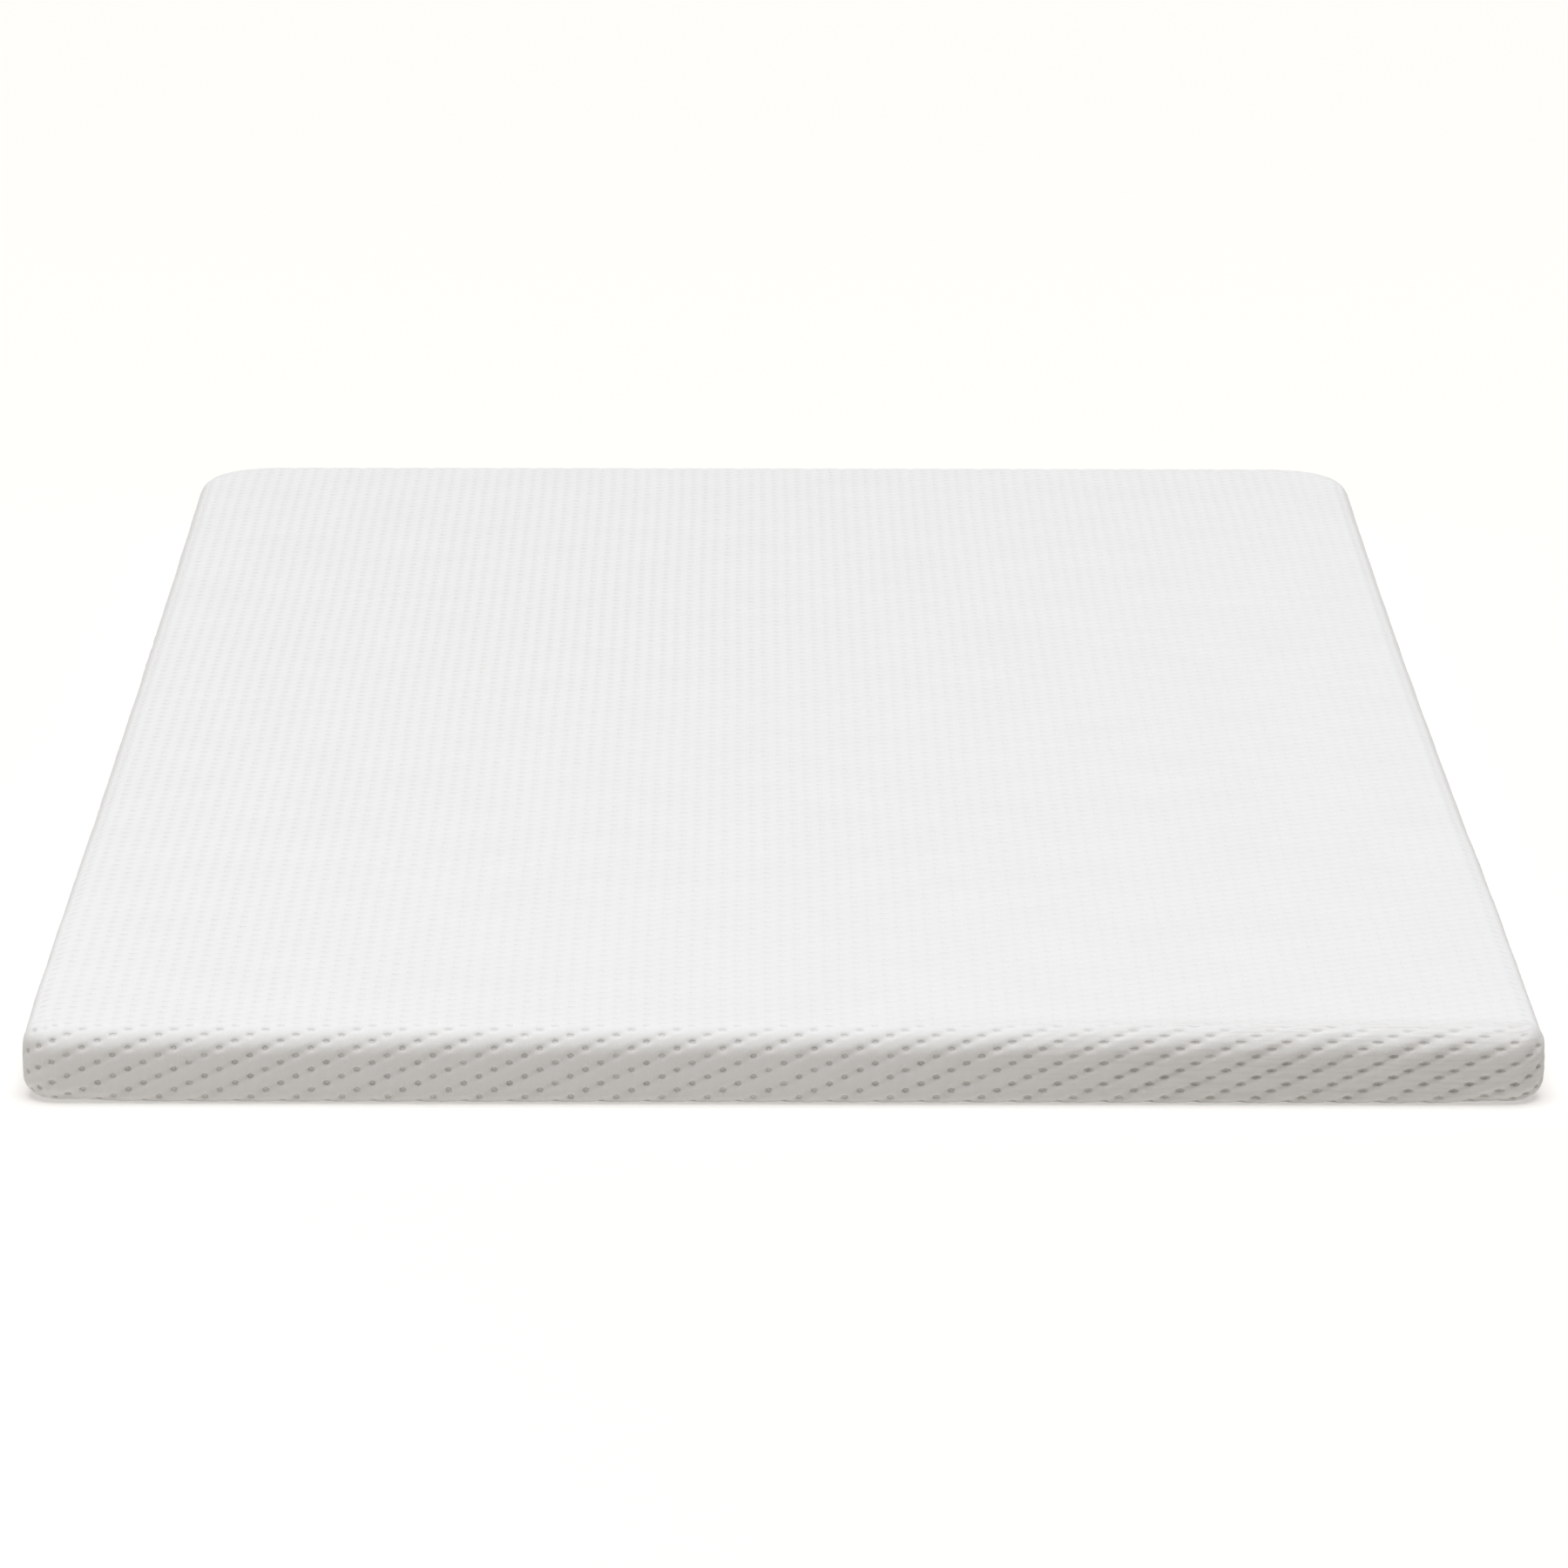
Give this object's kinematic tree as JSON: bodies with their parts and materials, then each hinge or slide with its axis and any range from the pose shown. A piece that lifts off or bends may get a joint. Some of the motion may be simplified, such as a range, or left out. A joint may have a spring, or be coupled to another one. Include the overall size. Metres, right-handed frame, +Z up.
{
  "type": "memory foam mattress",
  "caption": "Thin single-size memory foam mattress: layered foam in a knitted sock inside a dotted knit cover that unzips along its rear end.",
  "frame": {"origin": "centre of the flat underside", "axes": "+Z up out of the sleeping surface, +Y along the length towards the rear end that holds the zip, +X across the width"},
  "size_m": [0.99, 1.9085, 0.05],
  "materials": {
    "cover_knit": "matte",
    "base_cloth": "matte",
    "liner_knit": "matte",
    "memory_foam": "matte",
    "adhesive": "satin",
    "base_foam": "matte",
    "zip_tape": "matte",
    "zip_nylon": "satin",
    "zip_metal": "satin",
    "thread": "satin",
    "label_satin": "satin"
  },
  "bodies": {
    "root": {"cover_top": "cover_knit", "rear_lower_strip": "cover_knit", "cover_base": "base_cloth", "base_seam_thread": "thread", "inner_liner": "liner_knit", "liner_end_seams": "thread", "comfort_layer": "memory_foam", "foam_bond": "adhesive", "support_layer": "base_foam", "zip_tape_upper": "zip_tape", "zip_tape_lower": "zip_tape", "zip_coil_upper": "zip_nylon", "zip_coil_lower": "zip_nylon", "zip_stitching_upper": "thread", "zip_stitching_lower": "thread", "zip_end_tacks": "thread", "strip_end_stitching": "thread", "zip_top_stops": "zip_metal", "zip_bottom_stop": "zip_metal", "care_label": "label_satin"},
    "slider": {"slider_body": "zip_metal"},
    "puller": {"slider_puller": "zip_metal"}
  },
  "joints": [
    {"name": "slider_slide", "type": "slide", "parent": "root", "child": "slider", "axis": [1, 0, 0], "range_m": [0, 0.74], "deforming": ["zip_coil_upper", "zip_coil_lower"]},
    {"name": "puller_swing", "type": "hinge", "parent": "slider", "child": "puller", "pos_m": [-0.37, 0.954, 0.025], "axis": [0, 0, 1], "range_deg": [0, 180]}
  ]
}
